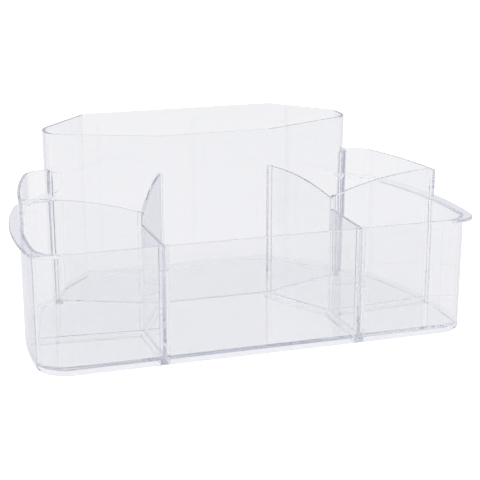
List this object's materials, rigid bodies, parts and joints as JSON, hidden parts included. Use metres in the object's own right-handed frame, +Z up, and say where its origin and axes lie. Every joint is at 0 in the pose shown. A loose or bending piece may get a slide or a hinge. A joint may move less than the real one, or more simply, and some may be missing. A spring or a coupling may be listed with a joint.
{
  "type": "makeup organizer",
  "caption": "Clear plastic countertop organizer: a low tray with bowed sides, arched dividers and open compartments in front of a tall faceted bin for brushes and bottles.",
  "frame": {"origin": "on the table under the middle of the bounding box", "axes": "+X along the width, to the right when looking at the front wall; +Y from the front wall to the tall bin; +Z up"},
  "size_m": [0.2802, 0.187, 0.1155],
  "materials": {
    "clear_plastic": "clear, glossy moulded plastic with a faint lavender tint"
  },
  "bodies": {
    "root": {"base_pan": "clear_plastic", "front_panel": "clear_plastic", "rear_bin": "clear_plastic", "side_panel_left": "clear_plastic", "side_panel_right": "clear_plastic", "rear_corner_left": "clear_plastic", "rear_corner_right": "clear_plastic", "rim_lip_left": "clear_plastic", "rim_lip_right": "clear_plastic", "divider_left": "clear_plastic", "divider_right": "clear_plastic", "cross_wall_left": "clear_plastic", "cross_wall_right": "clear_plastic"}
  },
  "joints": []
}
